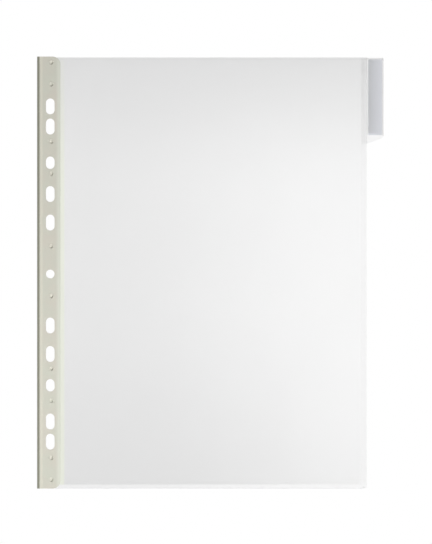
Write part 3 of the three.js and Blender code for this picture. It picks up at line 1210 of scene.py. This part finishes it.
@dataclass
class PocketSheet:
    """One film of the pocket, from inside the strip across the welds to the right edge."""

    side: Side
    name: str
    holes: HoleRow
    replaced: tuple[str, ...]
    film: float = 0.22 * MM
    closed_height: float = 0.12 * MM
    open_height: float = 0.30 * MM
    lip: float = 1.0 * MM
    rise_width: float = 3.0 * MM
    bead: float = 0.1 * MM
    bead_width: float = 0.45 * MM
    foot_bead: float = 0.05 * MM
    foot_bead_width: float = 0.9 * MM
    bead_steepness: float = 1.6
    corner: float = 2.0 * MM
    corner_flats: int = 6
    sway: float = 0.12 * MM
    sway_lengths: Pair = (38 * MM, 61 * MM)
    sway_starts: Pair = (1.3, -0.4)
    dab: float = 0.18 * MM
    dab_radius: float = 0.5 * MM
    dab_place: Pair = (0.3 * MM, -0.2 * MM)
    weld_steps: int = 8
    corner_steps: int = 5
    band_columns: int = 3
    edge_columns: int = 4
    film_columns: int = 42
    film_rows: int = 60

    def __post_init__(self) -> None:
        """Reads the places of the welds from the frame."""
        margin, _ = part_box("front_film_margin")
        binding, binding_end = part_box("binding_weld")
        side, side_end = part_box("side_weld")
        foot, foot_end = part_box("foot_weld")
        self.margin_left = margin.x
        self.strip_edge = binding.x
        self.binding_line = binding_end.x - self.lip
        self.side_line = side.x + self.lip
        self.right = side_end.x
        self.foot = foot.z
        self.foot_line = foot_end.z - self.lip
        self.top = binding_end.z

    def columns(self) -> list[float]:
        """Places across, closer together at the welds.

        Returns:
            The places, left to right.
        """
        binding_end = self.binding_line + self.rise_width
        side_start = self.side_line - self.rise_width
        bead_end = self.side_line + 2 * self.bead_width
        corner = self.right - self.corner
        return stations(
            (self.strip_edge, self.binding_line, self.weld_steps),
            (self.binding_line, binding_end, self.weld_steps),
            (binding_end, side_start, self.film_columns),
            (side_start, self.side_line, self.weld_steps),
            (self.side_line, bead_end, self.weld_steps),
            (bead_end, corner, self.band_columns),
            (corner, self.right, self.edge_columns))

    def rows(self) -> list[float]:
        """Places up, closer together at the foot weld.

        Returns:
            The places, foot to top.
        """
        corner = self.foot + self.corner
        weld_end = self.foot_line + self.rise_width
        return stations(
            (self.foot, corner, self.corner_steps),
            (corner, self.foot_line, self.corner_steps),
            (self.foot_line, weld_end, self.weld_steps),
            (weld_end, self.top, self.film_rows))

    def bead_at(self, offset: float, width: float) -> float:
        """Share of a bead's height at an offset from its line, highest one width away."""
        return math.exp(-((offset / width - 1.0) * self.bead_steepness) ** 2)

    def height(self, x: float, z: float) -> float:
        """How far the film's middle stands off the pocket's middle plane.

        Args:
            x: Place across.
            z: Place up.

        Returns:
            The height, always positive.
        """
        opened = smoothstep(self.binding_line, self.binding_line + self.rise_width, x)
        opened *= 1.0 - smoothstep(self.side_line - self.rise_width, self.side_line, x)
        opened *= smoothstep(self.foot_line, self.foot_line + self.rise_width, z)
        side_bead = self.bead_at(x - self.side_line, self.bead_width)
        foot_bead = self.bead_at(self.foot_line - z, self.foot_bead_width)
        foot_bead *= smoothstep(self.strip_edge, self.binding_line, x)
        foot_bead *= 1.0 - smoothstep(self.side_line, self.side_line + self.lip, x)
        across = math.sin(x / self.sway_lengths[0] + self.sway_starts[0])
        wave = 0.5 + 0.5 * across * math.cos(z / self.sway_lengths[1] + self.sway_starts[1])
        off_dab = math.hypot(
            x - self.side_line - self.dab_place[0], z - self.foot_line - self.dab_place[1])
        return (self.closed_height + (self.open_height - self.closed_height) * opened
                + max(self.bead * side_bead, self.foot_bead * foot_bead) + self.sway * wave * opened
                + self.dab * math.exp(-(off_dab / self.dab_radius) ** 2))

    def build(self, film: bpy.types.Material) -> bpy.types.Object:
        """Builds the film, which bends between the strip and the pocket.

        Args:
            film: Its finish.

        Returns:
            The film.
        """
        bench = Bench()
        rows = self.rows()
        columns = self.columns()
        edges = bench.chain([Vector((columns[0], 0.0, z)) for z in rows])
        seam = list(edges)
        for before, after in zip(columns, columns[1:]):
            edges = bench.pull(edges, Vector((after - before, 0.0, 0.0)))
        self.round_corner(bench)
        self.add_margin(bench, seam)
        bench.weld()
        bench.thicken(Vector((0.0, self.film, 0.0)))
        bmesh.ops.translate(bench.bm, verts=bench.bm.verts[:], vec=(0.0, -self.film / 2, 0.0))
        sign = self.side.value
        bench.shift(lambda p: Vector((p.x, sign * self.height(p.x, p.z) + p.y, p.z)))
        sheet = bench.finish(self.name, film)
        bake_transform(sheet)
        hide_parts(*self.replaced)
        return sheet

    def round_corner(self, bench: Bench) -> None:
        """Rounds the lower right corner.

        Args:
            bench: The flat sheet.
        """
        centre = Vector((self.right - self.corner, 0.0, self.foot + self.corner))
        bench.cut_round(centre, self.corner, -math.pi / 2, 0.0, self.corner_flats, cap=False)

    def add_margin(self, bench: Bench, seam: list[bmesh.types.BMEdge]) -> None:
        """Adds the punched stretch of film between the strip's leaves.

        Args:
            bench: The flat sheet.
            seam: Its left edge, foot to top.
        """
        seam = [edge for edge in seam if edge.is_valid]
        corners = sorted({v for e in seam for v in e.verts}, key=lambda v: v.co.z)
        foot, top = corners[0], corners[-1]
        lower = bench.bm.verts.new((self.margin_left, 0.0, foot.co.z))
        upper = bench.bm.verts.new((self.margin_left, 0.0, top.co.z))
        edges = [bench.bm.edges.new(pair) for pair in ((foot, lower), (lower, upper), (upper, top))]
        rims = [edge for points in self.holes.outlines() for edge in bench.chain(points, closed=True)]
        bench.fill(seam + edges + rims)


@dataclass
class IndexTab:
    """The clear sleeve folded round the tab's outer edge, and the label in it."""

    film: float = 0.25 * MM
    slot_half: float = 0.25 * MM
    weld_gap: float = 0.01 * MM
    weld_width: float = 0.75 * MM
    foot_slant: float = 4.6 * MM
    foot_weld: float = 1.4 * MM
    foot_corner: float = 2.2 * MM
    foot_corner_flats: int = 5
    press_rise: float = 0.25 * MM
    press_lead: float = 0.2 * MM
    press_fade: float = 0.1 * MM
    foot_press_rise: float = 0.5 * MM
    mark_columns: Pair = (0.36, 0.76)
    mark_pitch: float = 3.1 * MM
    mark_stagger: float = 0.45
    mark_drift: float = 0.04
    mark_half_width: float = 0.62 * MM
    mark_half_width_spread: float = 0.22 * MM
    mark_half_length: float = 0.36
    mark_half_length_spread: float = 0.1
    mark_depth: float = 0.072 * MM
    mark_depth_spread: float = 0.048 * MM
    mark_bed: Pair = (0.5, 0.7)
    marks_apart: int = 7
    flange_steps: int = 22
    weld_steps: int = 10
    slot_steps: int = 10
    leaf_rows: int = 150
    fold_steps: int = 10
    card_corner: float = 0.15 * MM
    card_corner_steps: int = 4
    card_round: float = 0.06 * MM

    def __post_init__(self) -> None:
        """Reads the places of the tab and its neighbours from the frame."""
        low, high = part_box("tab_sleeve")
        card, card_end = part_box("tab_label")
        _, side_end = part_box("side_weld")
        self.left = low.x
        self.outer = self.slot_half + self.film
        self.fold_x = high.x - self.outer
        self.foot = low.z
        self.top = high.z
        self.grip_end = side_end.x
        self.slot_foot = self.foot + self.foot_slant + self.foot_weld
        self.card_low = card
        self.card_high = card_end

    def build(self, film: bpy.types.Material, card: bpy.types.Material) -> list[bpy.types.Object]:
        """Builds the sleeve on the pocket's body and the label on its own.

        Args:
            film: Finish of the sleeve.
            card: Finish of the label.

        Returns:
            Both pieces.
        """
        return [self.build_sleeve(film), self.build_label(card)]

    def pressed(self, x: float, z: float) -> float:
        """How far each leaf is pressed towards the middle plane.

        Args:
            x: Place across.
            z: Place up.

        Returns:
            The distance.
        """
        weld_end = self.grip_end + self.weld_width
        rise = smoothstep(self.grip_end, self.grip_end + self.press_rise, x)
        seam = rise * (1.0 - smoothstep(weld_end - self.press_lead, weld_end + self.press_fade, x))
        foot = rise * (1.0 - smoothstep(self.slot_foot - self.foot_press_rise, self.slot_foot, z))
        return (self.slot_half - self.weld_gap) * max(seam, foot)

    def weld_mark(self, x: float, z: float) -> float:
        """Depth of the uneven marks that the welding tool left beside the pocket, in two columns.

        A mark's length and its place up are shares of the marks' pitch, and its place across is a share of
        the flange's width. Its bed is the share of it that lies at full depth, across and along. The number
        marks_apart keeps the two columns from looking alike.

        Args:
            x: Place across.
            z: Place up.

        Returns:
            The depth.
        """
        depth = 0.0
        for column, share in enumerate(self.mark_columns):
            row = (self.top - z) / self.mark_pitch + self.mark_stagger * column
            index = math.floor(row) + self.marks_apart * column
            place = share + self.mark_drift * vary(index, 2.3)
            middle = self.left + (self.grip_end - self.left) * place
            half_width = self.mark_half_width + self.mark_half_width_spread * vary(index, 3.7, 1.9)
            half_length = self.mark_half_length + self.mark_half_length_spread * vary(index, 1.7)
            bed_width, bed_length = half_width * self.mark_bed[0], half_length * self.mark_bed[1]
            across = 1.0 - smoothstep(bed_width, half_width, abs(x - middle))
            along = 1.0 - smoothstep(bed_length, half_length, abs(row - math.floor(row) - 0.5))
            deepest = self.mark_depth + self.mark_depth_spread * vary(index, 5.1)
            depth += deepest * across * along
        return depth

    def columns(self) -> list[float]:
        """Places across the sleeve's leaf, closer together at the marks.

        Returns:
            The places, left to right.
        """
        weld_end = self.grip_end + self.weld_width + self.press_lead
        return stations(
            (self.left, self.grip_end, self.flange_steps),
            (self.grip_end, weld_end, self.weld_steps),
            (weld_end, self.fold_x, self.slot_steps))

    def section(self) -> list[Vector]:
        """The folded film's closed outline, seen from the top.

        Returns:
            The points, once round.
        """
        columns = self.columns()
        outer = [Vector((x, -self.outer, 0.0)) for x in columns]
        outer += self.fold(self.outer)
        outer += [Vector((x, self.outer, 0.0)) for x in reversed(columns)]
        inner = [Vector((x, -self.slot_half, 0.0)) for x in columns]
        inner += self.fold(self.slot_half)
        inner += [Vector((x, self.slot_half, 0.0)) for x in reversed(columns)]
        return outer + list(reversed(inner))

    def fold(self, radius: float) -> list[Vector]:
        """Points on the round fold, both ends left out."""
        angles = [math.pi * (i + 1) / self.fold_steps - math.pi / 2 for i in range(self.fold_steps - 1)]
        return [Vector((self.fold_x + radius * math.cos(a), radius * math.sin(a), 0.0)) for a in angles]

    def build_sleeve(self, film: bpy.types.Material) -> bpy.types.Object:
        """The folded film, cut slanting at its foot and pressed at its welds.

        Args:
            film: Its finish.

        Returns:
            The sleeve.
        """
        bench = Bench()
        rows = stations((self.foot, self.top, self.leaf_rows))
        edges = bench.chain([p + Vector((0.0, 0.0, rows[0])) for p in self.section()], closed=True)
        bench.fill(edges)
        for before, after in zip(rows, rows[1:]):
            edges = bench.pull(edges, Vector((0.0, 0.0, after - before)))
        bench.fill(edges)
        self.cut_foot(bench)
        bench.face_outwards()
        bench.shift(self.press)
        sleeve = bench.finish("tab_film", film)
        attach(sleeve, "pocket")
        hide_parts("tab_sleeve")
        return sleeve

    def press(self, place: Vector) -> Vector:
        """Presses a point of the sleeve at its welds.

        Args:
            place: The point of the even sleeve.

        Returns:
            Where the welding press leaves it.
        """
        radius = abs(place.y)
        if place.x > self.fold_x:
            radius = math.hypot(place.x - self.fold_x, place.y)
        scale = 1.0 - self.pressed(place.x, place.z) / radius
        y = place.y * scale
        if radius > self.slot_half + self.film / 2 and place.x < self.grip_end:
            y -= math.copysign(self.weld_mark(place.x, place.z), y)
        return Vector((place.x, y, place.z))

    def cut_foot(self, bench: Bench) -> None:
        """Cuts the sleeve's slanting foot and its round outer corner.

        Args:
            bench: The sleeve.
        """
        outer = self.fold_x + self.outer
        slant = math.atan2(self.foot_slant, outer - self.grip_end)
        down = Vector((math.sin(slant), 0.0, -math.cos(slant)))
        bench.cut(Vector((self.grip_end, 0.0, self.foot)), down, cap=True)
        rise = self.foot_corner * (1 / math.cos(slant) - math.tan(slant))
        centre = Vector((outer - self.foot_corner, 0.0, self.foot + self.foot_slant + rise))
        bench.cut_round(
            centre, self.foot_corner, slant - math.pi / 2, 0.0, self.foot_corner_flats, cap=True)

    def build_label(self, card: bpy.types.Material) -> bpy.types.Object:
        """The loose label: a thin card with trimmed corners.

        Args:
            card: Its finish.

        Returns:
            The label.
        """
        low, high = self.card_low, self.card_high
        radius = self.card_corner
        left, right = low.x + radius, high.x - radius
        foot, top = low.z + radius, high.z - radius
        points = []
        for x, z, start in ((right, foot, -90), (right, top, 0), (left, top, 90), (left, foot, 180)):
            points += arc_points(x, z, radius, start, start + 90, self.card_corner_steps)
        bench = Bench()
        bench.fill(bench.chain(points, closed=True))
        bmesh.ops.translate(bench.bm, verts=bench.bm.verts[:], vec=(0.0, low.y, 0.0))
        bench.thicken(Vector((0.0, high.y - low.y, 0.0)))
        bench.soften(self.card_round)
        label = bench.finish("label_insert", card)
        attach(label, "label")
        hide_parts("tab_label")
        return label


@dataclass(frozen=True)
class Lamp:
    """A soft square lamp aimed at a place on the pocket."""

    name: str
    place: Triple
    aim: Triple
    size: float
    power: float
    in_gloss: bool = False

    def build(self) -> None:
        """Hangs the lamp."""
        data = bpy.data.lights.new(self.name, "AREA")
        data.shape = "SQUARE"
        data.size = self.size
        data.energy = self.power
        lamp = bpy.data.objects.new(self.name, data)
        # In clear film a strong lamp would show as glare, from behind too, and wash the film out.
        lamp.visible_glossy = self.in_gloss
        lamp.visible_transmission = False
        direction = Vector(self.aim) - Vector(self.place)
        turn = direction.to_track_quat("-Z", "Y").to_matrix().to_4x4()
        lamp.matrix_world = Matrix.Translation(self.place) @ turn
        bpy.context.scene.collection.objects.link(lamp)


@dataclass
class Studio:
    """White surroundings, a pale floor, soft lamps and the camera."""

    world_level: float = 0.25
    floor_level: float = 0.86
    floor_glow: float = 0.87
    floor_roughness: float = 0.9
    floor_drop: float = 0.65
    floor_half: float = 1.0
    camera_far: float = 3.0
    camera_reach: float = 20.0
    view_centre: Pair = (0.11913, 0.00147)
    view_height: float = 0.39103
    sensor: float = 36.0

    def build(self) -> None:
        """Builds the whole studio."""
        self.build_world()
        self.build_floor()
        for lamp in self.lamps():
            lamp.build()
        self.build_camera()

    def lamps(self) -> list[Lamp]:
        """The lamps: a broad key, a faint one that glints in the film, a low fill and one for the back.

        Returns:
            The lamps.
        """
        return [
            Lamp("key_lamp", place=(1.6, -2.9, -1.3), aim=(0.10, 0.0, 0.0), size=0.8, power=57.0),
            Lamp("film_lamp", place=(0.29, -0.50, -0.02), aim=(0.22, 0.0, -0.02), size=0.24, power=0.15,
                 in_gloss=True),
            Lamp("low_lamp", place=(0.20, -0.55, -0.56), aim=(0.02, 0.0, -0.12), size=0.3, power=2.5),
            Lamp("back_lamp", place=(-1.5, 2.6, 1.6), aim=(0.10, 0.0, 0.0), size=1.0, power=60.0),
        ]

    def build_world(self) -> None:
        """White for the camera, reflections and clear film, and a plain level for light."""
        world = bpy.data.worlds.new("studio_white")
        bpy.context.scene.world = world
        world.use_nodes = True
        wiring = Wiring(world.node_tree)
        background = wiring.add("ShaderNodeBackground")
        background.inputs["Color"].default_value = grey_of(1.0)
        level = wiring.mapped(wiring.seen_rays(), 0.0, 1.0, self.world_level, 1.0)
        wiring.join(level, background.inputs["Strength"])
        output = wiring.add("ShaderNodeOutputWorld")
        wiring.join(background.outputs["Background"], output.inputs["Surface"])

    def build_floor(self) -> None:
        """The pale floor, below the main view, which still takes the pocket's shadow."""
        material, wiring, shader, _ = new_material("studio_floor")
        shader.inputs["Base Color"].default_value = grey_of(self.floor_level)
        shader.inputs["Roughness"].default_value = self.floor_roughness
        white = wiring.add("ShaderNodeEmission")
        mix = wiring.add("ShaderNodeMixShader")
        wiring.join(wiring.math("MULTIPLY", wiring.seen_rays(), self.floor_glow), mix.inputs["Fac"])
        wiring.join(shader.outputs["BSDF"], mix.inputs[1])
        wiring.join(white.outputs["Emission"], mix.inputs[2])
        output = next(node for node in wiring.tree.nodes if node.type == "OUTPUT_MATERIAL")
        wiring.join(mix.outputs["Shader"], output.inputs["Surface"])
        low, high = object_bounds()
        middle = (Vector(low) + Vector(high)) / 2
        bench = Bench()
        bmesh.ops.create_grid(
            bench.bm, x_segments=1, y_segments=1, size=self.floor_half,
            matrix=Matrix.Translation((middle.x, middle.y, -self.floor_drop)))
        mesh = bpy.data.meshes.new("studio_floor")
        bench.bm.to_mesh(mesh)
        bench.bm.free()
        mesh.materials.append(material)
        floor = bpy.data.objects.new("studio_floor", mesh)
        bpy.context.scene.collection.objects.link(floor)
        floor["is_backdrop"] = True

    def build_camera(self) -> None:
        """The camera, straight in front of the pocket."""
        data = bpy.data.cameras.new("main_camera")
        data.sensor_fit = "AUTO"
        data.sensor_width = self.sensor
        data.lens = self.sensor * self.camera_far / self.view_height
        data.clip_end = self.camera_reach
        camera = bpy.data.objects.new("main_camera", data)
        place = Matrix.Translation((self.view_centre[0], -self.camera_far, self.view_centre[1]))
        camera.matrix_world = place @ Matrix.Rotation(math.pi / 2, 4, "X")
        bpy.context.scene.collection.objects.link(camera)
        bpy.context.scene.camera = camera


def pocket_seams(sheet: PocketSheet) -> list[Seam]:
    """The welds of the pocket and its painted shade and highlights, each with the colour it shows.

    Args:
        sheet: A film that knows where the welds are.

    Returns:
        The seams.
    """
    foot, foot_line, top = sheet.foot, sheet.foot_line, sheet.top
    side_line, right = sheet.side_line, sheet.right
    foot_band = (foot + 0.5 * MM, foot_line - 0.6 * MM)
    return [
        # Painted shade: wide soft bands that make the film darker or lighter at its foot and lower left.
        Seam("foot_painted_shade", Axis.UP, foot - 80 * MM, foot - 59 * MM, grey_of(0.96), softness=140 * MM),
        Seam("left_foot_painted_shade", Axis.UP, foot - 60 * MM, foot - 47 * MM, grey_of(0.885),
             softness=197 * MM, span=(sheet.margin_left, sheet.binding_line + 37 * MM), fade=205 * MM),
        Seam("binding_weld", Axis.ACROSS, sheet.margin_left, sheet.binding_line, (0.932, 0.946, 0.885, 1.0)),
        Seam("side_weld", Axis.ACROSS, side_line + 0.4 * MM, right + sheet.lip, grey_of(0.978)),
        # Painted shade: the film darker towards its top.
        Seam("top_painted_shade", Axis.UP, top + 49 * MM, top + 80 * MM, grey_of(0.865), softness=150 * MM),
        # Painted highlight along the crest of the side weld.
        Seam("side_weld_gleam", Axis.ACROSS, side_line - 0.5 * MM, side_line + 0.2 * MM, grey_of(1.0),
             span=(foot + 65 * MM, top - 105 * MM), fade=60 * MM),
        Seam("foot_weld", Axis.UP, *foot_band, grey_of(0.968), softness=0.6 * MM),
        # Painted highlight on the foot weld, strongest towards the right.
        Seam("foot_weld_gleam", Axis.UP, *foot_band, grey_of(1.0), softness=0.6 * MM,
             span=(side_line - 30 * MM, right), fade=160 * MM),
        Seam("lower_edge", Axis.UP, foot - sheet.lip, foot + 0.2 * MM, grey_of(0.91)),
        Seam("top_edge", Axis.UP, top - 1.6 * MM, top - 1.1 * MM, grey_of(0.86)),
        # A darker patch near the lower right corner.
        Seam("corner_dark_patch", Axis.ACROSS, right - 2.65 * MM, right - 1.95 * MM, grey_of(0.86),
             softness=0.35 * MM, span=(foot + 0.5 * MM, foot + 1.2 * MM)),
        # Painted highlight on the small dab of film where the welds meet.
        Seam("corner_dab_highlight", Axis.ACROSS, side_line + 0.05 * MM, side_line + 0.55 * MM, grey_of(1.0),
             softness=0.2 * MM, span=(foot_line - 0.45 * MM, foot_line + 0.05 * MM)),
    ]


def tab_seams(tab: IndexTab) -> list[Seam]:
    """The welds and edges of the tab, each with the colour it shows.

    Args:
        tab: The tab that knows where its welds are.

    Returns:
        The seams.
    """
    slot = (tab.grip_end, tab.fold_x + MM)
    leaf = (tab.slot_foot, tab.top + MM)
    return [
        Seam("flange", Axis.ACROSS, tab.left - MM, tab.grip_end, grey_of(1.0), sunk=0.6,
             lump_colour=grey_of(0.90)),
        Seam("flange_edge", Axis.ACROSS, tab.grip_end - 0.75 * MM, tab.grip_end, grey_of(1.0),
             softness=0.1 * MM, sunk=0.9),
        Seam("slot_weld", Axis.ACROSS, tab.grip_end, tab.grip_end + tab.weld_width + 0.3 * MM,
             grey_of(0.925), span=leaf),
        Seam("foot_weld", Axis.UP, tab.foot - MM, tab.slot_foot, grey_of(0.965), span=slot),
        # Painted shade where the film rolls round the fold.
        Seam("fold", Axis.ACROSS, tab.fold_x - 0.1 * MM, tab.fold_x + MM, grey_of(0.84), span=leaf),
        Seam("top_edge", Axis.UP, tab.top - 0.9 * MM, tab.top + MM, grey_of(0.89), softness=0.2 * MM,
             span=slot),
        Seam("top_corner", Axis.ACROSS, tab.fold_x - 0.7 * MM, tab.fold_x, grey_of(0.80),
             span=(tab.top - 1.3 * MM, tab.top - 0.7 * MM)),
    ]


def main() -> None:
    """Builds the pocket and its studio."""
    logging.basicConfig(level=logging.INFO, format="%(name)s %(message)s")
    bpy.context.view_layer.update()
    bpy.context.scene.view_settings.view_transform = "Standard"
    effects = SharedEffects.build()
    holes = HoleRow()
    melted = StripPlastic(name="melted_strip_plastic", sheen=0.30, rubbed_sheen=0.26)
    pieces = FilingStrip(holes).build(StripPlastic().build(effects), melted.build(effects))
    front = PocketSheet(
        Side.FRONT, "front_sheet", holes, ("front_film_margin", "front_film", "binding_weld"))
    back = PocketSheet(
        Side.BACK, "back_sheet", holes, ("back_film_margin", "back_film", "side_weld", "foot_weld"))
    film = ClearFilm().build(effects, pocket_seams(front))
    pieces += [sheet.build(film) for sheet in (front, back)]
    tab = IndexTab()
    tab_film = ClearFilm(
        name="clear_tab_film", left_shade_colour=grey_of(0.975), right_light_colour=grey_of(0.975), frost=0.16,
        seam_frost=0.19)
    pieces += tab.build(tab_film.build(effects, tab_seams(tab)), LabelCard().build(effects))
    for piece in pieces:
        log.info("%s: %d faces", piece.name, len(piece.data.polygons))
    Studio().build()


if __name__ == "__main__":
    main()
